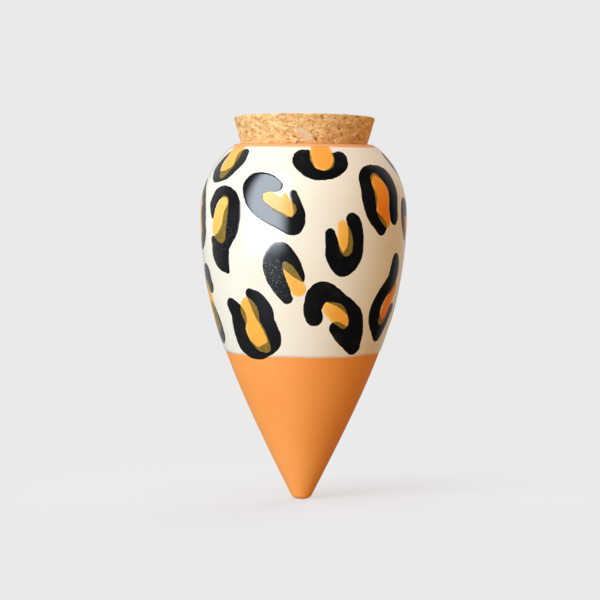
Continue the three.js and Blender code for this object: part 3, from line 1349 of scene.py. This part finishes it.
FRONT_SPOTS = (
    Spot(LEANING_CUP, -58, 77.5, warmth=0.3),
    Spot(RIM_CUP, 12, 78.0, warmth=0.65),
    Spot(TALL_ARCH, 49, 64.0, warmth=0.75, deepens=0.4),
    Spot(HOOK_WITH_TAIL, -51, 51.0, warmth=0.1, dry=0.4, dry_at=0.7),
    Spot(BIG_BOWL, -16, 61.5, warmth=0.35),
    Spot(HORSESHOE, 22, 47.0, warmth=0.3),
    Spot(COMMA, -9, 35.0, warmth=0.3, dry=1.0),
    Spot(LONG_FLAME, 61, 25.0, warmth=0.9),
    Spot(TWO_HORNS, -34, 14.5, warmth=0.4),
    Spot(BROAD_HOOK, 22, 16.0, warmth=0.25, deepens=0.45),
    Spot(SPLIT_RING, -73, 20.5, warmth=0.5),
)
BACK_SPOTS = (
    Spot(RIM_CUP, 92, 78.0, mirrored=True),
    Spot(LEANING_CUP, 143, 77.5, warmth=0.6),
    Spot(RIM_CUP, 195, 78.0, warmth=0.1),
    Spot(LEANING_CUP, 246, 77.5, mirrored=True, warmth=0.4),
    Spot(BIG_BOWL, 87, 54.0, turn=190, warmth=0.5),
    Spot(TALL_ARCH, 129, 53.0, mirrored=True, warmth=0.25),
    Spot(BIG_BOWL, 167, 56.0, mirrored=True, warmth=0.15, dry=0.5),
    Spot(HOOK_WITH_TAIL, 208, 52.0, mirrored=True, warmth=0.7),
    Spot(HORSESHOE, 240, 53.0, turn=10, warmth=0.45),
    Spot(TALL_ARCH, 275, 57.0, turn=180, warmth=0.3),
    Spot(COMMA, 95, 22.0, mirrored=True, warmth=0.55, dry=0.5),
    Spot(TWO_HORNS, 131, 19.0, mirrored=True, warmth=0.3),
    Spot(BROAD_HOOK, 174, 21.0, turn=-10, warmth=0.5),
    Spot(HORSESHOE, 213, 17.0, turn=-15, warmth=0.35),
    Spot(COMMA, 250, 22.0, turn=20, warmth=0.1),
)


class BrushFilmTree(GeometryTree):
    """Lifts a thin closed film of paint off a wall, along brush strokes given as points with half-widths.

    The film starts below the wall, so that its feathered edges come out of it. How deep it starts, how thin
    it starts and how close two points are welded are shares of its thickness.
    """

    START_DEPTH = 1.5
    START_THICKNESS = 0.01
    WELD = 0.02
    WOBBLE_DETAIL = 3.0

    def __init__(self) -> None:
        """Builds the tree."""
        super().__init__("brush_film")
        strokes = self._points_of(self.add_input("Strokes", "NodeSocketObject"))
        ground = self._points_of(self.add_input("Ground strokes", "NodeSocketObject"))
        self.widest = self.add_input("Widest stroke")
        wobble, wobble_size = self.add_input("Wobble"), self.add_input("Wobble size")
        seed = self.add_input("Seed")
        self.thickness, self.feather = self.add_input("Thickness"), self.add_input("Feather")
        reach = self.add_input("Reach")
        material = self.add_input("Material", "NodeSocketMaterial")

        position = self.position()
        sway = self.swirl(position, wobble_size, self.WOBBLE_DETAIL, seed)
        brushed = self.plus(position, sway, wobble)
        index, edge = self._edge(strokes, brushed)
        _, under = self._edge(ground, brushed)
        wall = self.store(self.inputs["Geometry"], "facing", self.normal(), "FLOAT_VECTOR")
        wall = self.store(wall, "edge", edge)
        wall = self.store(wall, "under", under)
        for name in ("warmth", "dry"):
            wall = self.store(wall, name, self.sample(strokes, self.attribute(name), index))
        settings = {"domain": "POINT", "mode": "ALL"}
        feeds = {"Geometry": wall, "Selection": self.attribute("edge") > reach}
        painted = self.node("GeometryNodeDeleteGeometry", settings, feeds)["Geometry"]
        self.close(self._film(painted), material)

    def _points_of(self, stroke_object: Wire) -> Wire:
        """Gives the points of a strokes object."""
        return self.node("GeometryNodeObjectInfo", None, {"Object": stroke_object})["Geometry"]

    def _edge(self, strokes: Wire, place: Wire) -> tuple[Wire, Wire]:
        """Finds the stroke that covers a place and how far outside its edge the place is.

        Points of narrow strokes are lifted off the wall, so that the nearest lifted point is the one whose
        round dab reaches the place first.

        Args:
            strokes: the stroke points.
            place: the places to look from.

        Returns:
            The number of the stroke point, and the distance past its edge, below 0 inside.
        """
        half_width = self.attribute("half_width")
        lift = self.math("SQRT", self.widest * self.widest - half_width * half_width)
        lifted = self.move(strokes, self.scaled(self.attribute("facing", "FLOAT_VECTOR"), lift))
        feeds = {"Geometry": lifted, "Sample Position": place}
        index = self.node("GeometryNodeSampleNearest", {"domain": "POINT"}, feeds)["Index"]
        middle = self.sample(strokes, self.position(), index, "FLOAT_VECTOR")
        return index, self.distance(place, middle) - self.sample(strokes, half_width, index)

    def _film(self, painted: Wire) -> Wire:
        """Makes a closed film from the painted stretches of the wall.

        Args:
            painted: the open stretches, which carry their facing and their distance past the edge.

        Returns:
            The film, raised inside the strokes and sunk below the wall round them.
        """
        thickness = self.thickness
        facing = self.attribute("facing", "FLOAT_VECTOR")
        depth = self.START_DEPTH * thickness
        below = self.move(painted, self.scaled(facing, -1.0 * depth))
        start = self.START_THICKNESS * thickness
        feeds = {"Mesh": below, "Offset": facing, "Offset Scale": start, "Individual": False}
        raised = self.node("GeometryNodeExtrudeMesh", {"mode": "FACES"}, feeds)
        edge = self.attribute("edge")
        rise = self.ease(edge, self.feather, -1.0 * self.feather, -1.0 * thickness, thickness)
        top = self.move(raised["Mesh"], self.scaled(facing, depth + rise), raised["Top"])
        underside = self.node("GeometryNodeFlipFaces", None, {"Mesh": below})["Mesh"]
        both = self.node("GeometryNodeJoinGeometry", None, {"Geometry": [top, underside]})["Geometry"]
        feeds = {"Geometry": both, "Distance": self.WELD * thickness}
        return self.node("GeometryNodeMergeByDistance", None, feeds)["Geometry"]


@dataclass
class Brushwork:
    """The spots, brushed on the coat as two thin films: black first, then amber."""

    coat: GlazeCoat
    spots: tuple[Spot, ...] = FRONT_SPOTS + BACK_SPOTS
    finishes: dict[Paint, BlackPaintFinish | AmberPaintFinish] = field(
        default_factory=lambda: {Paint.BLACK: BlackPaintFinish(), Paint.AMBER: AmberPaintFinish()})
    thickness: dict[Paint, float] = field(
        default_factory=lambda: {Paint.BLACK: 0.05 * MM, Paint.AMBER: 0.11 * MM})
    cell: float = 0.48 * MM
    stroke_step: float = 0.3 * MM
    widest: float = 7.0 * MM
    wobble: float = 1.0 * MM
    wobble_size: float = 3.2 * MM
    feather: float = 0.4 * MM
    reach: float = 0.9 * MM
    dry_reach: float = 0.18
    seed: float = 3.0

    def stroke_points(self, paint: Paint) -> bpy.types.Object:
        """Makes the points that one paint's strokes run through.

        Args:
            paint: the paint.

        Returns:
            An object whose points carry their facing, half-width, warmth and dryness.
        """
        wall, face = self.coat.wall, self.coat.face
        places = []
        names = ("facing", "half_width", "warmth", "dry")
        carried: dict[str, list[np.ndarray]] = {name: [] for name in names}
        for spot in self.spots:
            for stroke in spot.shape.strokes(paint):
                run = smooth_run(spot.placed(stroke), self.stroke_step)
                along = np.linspace(0.0, 1.0, len(run))
                climb = spot.climb * MM + run[:, 1]
                angle = math.radians(spot.angle) + run[:, 0] / wall.at(climb, face)[:, 0]
                places.append(wall.on_wall(angle, climb, face))
                carried["facing"].append(wall.facing(angle, climb))
                carried["half_width"].append(run[:, 2])
                carried["warmth"].append(spot.warmth + spot.deepens * along)
                carried["dry"].append(spot.dry * np.exp(-((along - spot.dry_at) / self.dry_reach) ** 2))
        mesh = mesh_of(f"{paint.value}_strokes", np.concatenate(places), [])
        for name, values in carried.items():
            carry(mesh, name, np.concatenate(values))
        return new_piece(mesh.name, mesh)

    def build(self) -> list[bpy.types.Object]:
        """Makes both films and puts them on the vessel.

        Returns:
            The finished pieces.
        """
        tree = BrushFilmTree()
        strokes = {paint: self.stroke_points(paint) for paint in Paint}
        films = []
        for paint in Paint:
            film = new_piece(f"{paint.value}_brushwork", self.coat.face_grid(self.cell))
            tree.made(film, {
                "Strokes": strokes[paint],
                "Ground strokes": strokes[Paint.BLACK],
                "Widest stroke": self.widest,
                "Wobble": self.wobble,
                "Wobble size": self.wobble_size,
                "Seed": self.seed,
                "Thickness": self.thickness[paint],
                "Feather": self.feather,
                "Reach": self.reach,
                "Material": self.finishes[paint].material(),
            })
            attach(film, "vessel")
            films.append(film)
        for points in strokes.values():
            bpy.data.objects.remove(points)
        return films


class CorkGrainTree(GeometryTree):
    """Gives a smooth cork its pressed granules, seams and pits.

    A seam's width is a share of a cell, and the weights share out the depth of the seams.
    """

    SEAM_WIDTH = 0.16
    GRANULE_WEIGHT = 0.6
    CRUMB_WEIGHT = 0.4
    LUMP_DETAIL = 3.0
    LUMP_SEED = 17.0
    PIT_DETAIL = 2.0
    PIT_SEED = 18.0
    PIT_START = 0.66
    PIT_FULL = 0.74

    def __init__(self) -> None:
        """Builds the tree."""
        super().__init__("cork_grain")
        granule, crumb = self.add_input("Granule"), self.add_input("Crumb")
        flattened = self.add_input("Flattened", "NodeSocketVector")
        seam_depth, pit_depth = self.add_input("Seam depth"), self.add_input("Pit depth")
        lump_size, pit_size = self.add_input("Lump size"), self.add_input("Pit size")
        material = self.add_input("Material", "NodeSocketMaterial")

        whole = self.store(self.inputs["Geometry"], "rest_place", self.position(), "FLOAT_VECTOR")
        whole = self.store(whole, "facing", self.normal(), "FLOAT_VECTOR")
        rest = self.attribute("rest_place", "FLOAT_VECTOR")
        pressed = self.vector("MULTIPLY", rest, flattened)
        granule_seams = self.GRANULE_WEIGHT * self.seam(pressed, granule, GRANULE_SEED, self.SEAM_WIDTH)
        crumb_seams = self.CRUMB_WEIGHT * self.seam(pressed, crumb, CRUMB_SEED, self.SEAM_WIDTH)
        lumps = self.noise(rest, lump_size, self.LUMP_DETAIL, self.LUMP_SEED)
        spread = self.noise(rest, pit_size, self.PIT_DETAIL, self.PIT_SEED)
        pits = self.ease(spread, self.PIT_START, self.PIT_FULL)
        sunk = seam_depth * (granule_seams + crumb_seams + lumps) + pit_depth * pits
        whole = self.store(whole, "sunk", sunk)
        facing = self.attribute("facing", "FLOAT_VECTOR")
        grained = self.move(whole, self.scaled(facing, -1.0 * self.attribute("sunk")))
        self.close(grained, material)


@dataclass
class CorkStopper:
    """The tapered cork plug, with a top that is cut a little askew."""

    lip_height: float
    finish: CorkFinish = CorkFinish()
    taper: float = math.radians(17.0)
    top_edge: float = 0.5 * MM
    foot_edge: float = 1.6 * MM
    top_radius: float = 28.2 * MM
    swell: float = 0.15 * MM
    extra_height: float = 0.4 * MM
    askew: float = math.radians(2.5)
    seam_depth: float = 0.12 * MM
    pit_depth: float = 0.5 * MM
    lump_size: float = 3.0 * MM
    pit_size: float = 1.3 * MM
    columns: int = 420
    side_rows: int = 56
    flat_rows: int = 56
    round_steps: int = 5

    def profile(self) -> np.ndarray:
        """Draws the outline, from the middle of the foot round the side to the middle of the top.

        Returns:
            Radius and height of each point.
        """
        low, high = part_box("cork_stopper")
        foot, top = low.z, high.z
        foot_radius = self.top_radius - (top - foot) * math.tan(self.taper)
        foot_reach = self.foot_edge * math.tan((UP - self.taper) / 2)
        foot_centre = (foot_radius - foot_reach, foot + self.foot_edge)
        top_reach = self.top_edge * math.tan((UP + self.taper) / 2)
        top_centre = (self.top_radius - top_reach, top - self.top_edge)
        foot_arc = arc(foot_centre, self.foot_edge, -UP, -self.taper, self.round_steps)
        top_arc = arc(top_centre, self.top_edge, -self.taper, UP, self.round_steps)
        straight = np.linspace(foot_arc[-1], top_arc[0], self.side_rows + 1)[1:-1]
        side = straight + self.swell * heading(-self.taper)
        foot_flat = np.linspace((0.0, foot), foot_arc[0], self.flat_rows + 1)[:-1]
        top_flat = np.linspace(top_arc[-1], (0.0, top), self.flat_rows + 1)[1:]
        return np.vstack([foot_flat, foot_arc, side, top_arc, top_flat])

    def cut_askew(self, points: np.ndarray) -> np.ndarray:
        """Stretches the part above the lip, more in front than behind.

        Args:
            points: the plug's points.

        Returns:
            The points in their new places.
        """
        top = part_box("cork_stopper")[1].z
        share = np.clip((points[:, 2] - self.lip_height) / (top - self.lip_height), 0.0, 1.0)
        rise = share * (self.extra_height - math.tan(self.askew) * points[:, 1])
        return points + rise[:, None] * np.array([0.0, 0.0, 1.0])

    def build(self) -> bpy.types.Object:
        """Makes the cork and puts it on the stopper.

        Returns:
            The finished piece.
        """
        points, faces = turned(self.profile(), self.columns)
        piece = new_piece("cork_plug", mesh_of("cork_plug", self.cut_askew(points), faces))
        CorkGrainTree().made(piece, {
            "Granule": self.finish.granule,
            "Crumb": self.finish.crumb,
            "Flattened": (1.0, 1.0, self.finish.flattened),
            "Seam depth": self.seam_depth,
            "Pit depth": self.pit_depth,
            "Lump size": self.lump_size,
            "Pit size": self.pit_size,
            "Material": self.finish.material(),
        })
        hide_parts("cork_stopper")
        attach(piece, "stopper")
        return piece


@dataclass(frozen=True)
class Softbox:
    """A soft area lamp that faces the object."""

    name: str
    azimuth: float
    elevation: float
    width: float
    height: float
    radiance: float
    distance: float = 1.0

    def place(self, target: Vector) -> None:
        """Adds the lamp to the scene, unseen in the gloss.

        Args:
            target: the place that the lamp faces.
        """
        way = towards(self.azimuth, self.elevation)
        lamp = bpy.data.lights.new(self.name, "AREA")
        lamp.shape = "RECTANGLE"
        lamp.size, lamp.size_y = self.width, self.height
        lamp.energy = self.radiance * math.pi * self.width * self.height
        holder = bpy.data.objects.new(self.name, lamp)
        holder.location = target + way * self.distance
        holder.rotation_euler = (-way).to_track_quat("-Z", "Y").to_euler()
        holder.visible_glossy = False
        bpy.context.scene.collection.objects.link(holder)


@dataclass(frozen=True)
class SoftWindow:
    """A far upright window with soft edges, which lights the object and shows in its gloss.

    Its edges are given as they would stand on a wall at a distance of 1, from straight ahead and level.
    """

    azimuth: float
    half_width: float
    low: float
    high: float
    soft_sides: float
    soft_ends: float
    light: Colour

    def share(self, graph: NodeGraph, way: Wire) -> Wire:
        """Gives 1 for directions that meet the window and 0 for others, with a soft step between.

        Args:
            graph: the nodes of the surroundings.
            way: the direction that is looked at.

        Returns:
            The share of the window's light in that direction.
        """
        ahead = graph.dot(way, towards(self.azimuth, 0.0))
        across = graph.dot(way, towards(self.azimuth + QUARTER_TURN, 0.0))
        aside = graph.math("ABSOLUTE", across / ahead)
        up = graph.part(way, "Z") / ahead
        width = graph.ease(aside, self.half_width + self.soft_sides, self.half_width - self.soft_sides)
        sill = graph.ease(up, self.low - self.soft_ends, self.low + self.soft_ends)
        head = graph.ease(up, self.high + self.soft_ends, self.high - self.soft_ends)
        return (ahead > 0.0) * width * sill * head


@dataclass
class Studio:
    """Pale floor and surroundings, soft lamps and the camera.

    Each side is an azimuth and an elevation in degrees. Each turn is a pair of levels, of how far a direction
    goes to a side, between which one light turns into another.
    """

    floor_height: float
    pale: Colour = (0.8227, 0.8227, 0.8227)
    mirrored_left: Colour = (0.09, 0.09, 0.09)
    mirrored_right: Colour = (0.015, 0.015, 0.015)
    right_side: tuple[float, float] = (QUARTER_TURN, 0.0)
    right_turn: tuple[float, float] = (-0.5, 0.5)
    mirrored_back: Colour = (0.40, 0.40, 0.40)
    pale_side: tuple[float, float] = (190.0, 20.0)
    pale_turn: tuple[float, float] = (0.2, 0.95)
    ambient: Colour = (0.24, 0.27, 0.31)
    warm_ambient: Colour = (0.47, 0.26, 0.065)
    warm_side: tuple[float, float] = (80.0, -15.0)
    warm_turn: tuple[float, float] = (-0.3, 0.7)
    target: Vector = field(default_factory=lambda: Vector((0.0, 0.0, 0.03)))
    windows: tuple[SoftWindow, ...] = (
        SoftWindow(azimuth=-44.0, half_width=0.405, low=-0.17, high=1.21,
                   soft_sides=0.17, soft_ends=0.08, light=(4.0, 4.5, 5.0)),
        SoftWindow(azimuth=-40.0, half_width=0.45, low=-0.60, high=-0.25,
                   soft_sides=0.20, soft_ends=0.20, light=(0.12, 0.14, 0.17)),
        SoftWindow(azimuth=-8.0, half_width=0.15, low=0.20, high=0.60,
                   soft_sides=0.15, soft_ends=0.15, light=(0.11, 0.13, 0.13)),
    )
    lamps: tuple[Softbox, ...] = (
        Softbox("front", azimuth=-4.0, elevation=4.0, width=0.6, height=0.6, radiance=1.9),
        Softbox("back_right", azimuth=150.0, elevation=20.0, width=0.9, height=0.7, radiance=3.0),
        Softbox("back_left", azimuth=235.0, elevation=15.0, width=0.8, height=0.8, radiance=1.1),
        Softbox("top", azimuth=0.0, elevation=85.0, width=0.8, height=0.8, radiance=1.2),
    )
    floor_reach: float = 30.0
    shadow_depth: float = 0.4
    shadow_reach: tuple[float, float] = (0.03, 0.16)
    camera_distance: float = 1.04
    camera_elevation: float = 2.9
    camera_roll: float = 0.45
    frame_width: float = 0.240
    aim: Vector = field(default_factory=lambda: Vector((-1.2 * MM, 0.0, 21.6 * MM)))
    sensor: float = 36.0

    def build(self) -> None:
        """Makes the floor, the surroundings, the lamps and the camera."""
        self._floor()
        self._world()
        for lamp in self.lamps:
            lamp.place(self.target)
        self._camera()
        bpy.context.scene.view_settings.view_transform = "Standard"

    def _floor(self) -> None:
        """Makes the floor, which takes the shadow near the object and fades into the background."""
        reach, height = self.floor_reach, self.floor_height
        signs = ((-1, -1), (1, -1), (1, 1), (-1, 1))
        corners = np.array([(x * reach, y * reach, height) for x, y in signs])
        floor = new_piece("floor", mesh_of("floor", corners, [(0, 1, 2, 3)]))
        shader = SurfaceShader("pale_floor")
        away = shader.distance(shader.place(), (0.0, 0.0, height))
        share = shader.ease(away, *self.shadow_reach, 1.0 - self.shadow_depth, 1.0)
        path = shader.node("ShaderNodeLightPath")
        seen = path["Is Camera Ray"] + path["Is Glossy Ray"] + path["Is Transmission Ray"]
        matte = shader.node("ShaderNodeBsdfDiffuse", None, {"Color": self.pale})["BSDF"]
        glow = shader.node("ShaderNodeEmission", None, {"Color": self.pale, "Strength": 1.0})["Emission"]
        feeds = {0: share * shader.math("MINIMUM", seen, 1.0), 1: matte, 2: glow}
        mixed = shader.node("ShaderNodeMixShader", None, feeds)["Shader"]
        shader.node("ShaderNodeOutputMaterial", None, {"Surface": mixed})
        floor.data.materials.append(shader.material)
        floor.visible_glossy = False
        floor.visible_diffuse = False
        floor.visible_shadow = False
        floor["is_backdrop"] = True

    def _world(self) -> None:
        """Sets the surroundings: pale to the eye, dim in the gloss, with windows and an even soft light."""
        world = bpy.data.worlds.new("studio")
        world.use_nodes = True
        bpy.context.scene.world = world
        graph = NodeGraph(world.node_tree)
        graph.tree.nodes.clear()
        path = graph.node("ShaderNodeLightPath")
        way = graph.node("ShaderNodeTexCoord")["Object"]

        def turn(side: tuple[float, float], levels: tuple[float, float], first: Feed, second: Feed) -> Wire:
            """Gives the first light, turning into the second towards a side."""
            return graph.mix(graph.ease(graph.dot(way, towards(*side)), *levels), first, second)

        aside = turn(self.right_side, self.right_turn, self.mirrored_left, self.mirrored_right)
        mirrored = turn(self.pale_side, self.pale_turn, aside, self.mirrored_back)
        ambient = turn(self.warm_side, self.warm_turn, self.ambient, self.warm_ambient)
        lit = graph.mix(path["Is Glossy Ray"], ambient, mirrored)
        for window in self.windows:
            lit = graph.plus(lit, window.light, window.share(graph, way))
        eye = graph.math("MAXIMUM", path["Is Camera Ray"], path["Is Transmission Ray"])
        feeds = {"Color": graph.mix(eye, lit, self.pale), "Strength": 1.0}
        glow = graph.node("ShaderNodeBackground", None, feeds)["Background"]
        graph.node("ShaderNodeOutputWorld", None, {"Surface": glow})

    def _camera(self) -> None:
        """Adds the camera at the photograph's viewing angle."""
        camera = bpy.data.cameras.new("camera")
        camera.sensor_width = self.sensor
        camera.lens = self.sensor * self.camera_distance / self.frame_width
        way = towards(0.0, self.camera_elevation)
        holder = bpy.data.objects.new("camera", camera)
        holder.location = self.aim + way * self.camera_distance
        turn = (-way).to_track_quat("-Z", "Y")
        roll = Matrix.Rotation(math.radians(self.camera_roll), 3, "Z")
        holder.rotation_euler = (turn.to_matrix() @ roll).to_euler()
        bpy.context.scene.collection.objects.link(holder)
        bpy.context.scene.camera = holder


def write_sizes() -> None:
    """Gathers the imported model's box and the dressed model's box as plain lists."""
    boxes = {"cad": CAD_BOX, "visual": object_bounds()}
    plain = {name: [list(corner) for corner in box] for name, box in boxes.items()}


def main() -> None:
    """Builds the studio and the pieces, and reports each piece."""
    logging.basicConfig(level=logging.INFO, format="%(name)s: %(message)s")
    low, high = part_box("clay_body")
    wall = PotWall(belly_radius=high.x, tip=low.z)
    Studio(floor_height=low.z).build()
    coat = GlazeCoat(wall)
    cork = CorkStopper(lip_height=high.z)
    pieces = [ClayBody(wall).build(), coat.build(), *Brushwork(coat).build(), cork.build()]
    for piece in pieces:
        LOG.info("%s: %d faces", piece.name, len(piece.data.polygons))
    write_sizes()


if __name__ == "__main__":
    main()
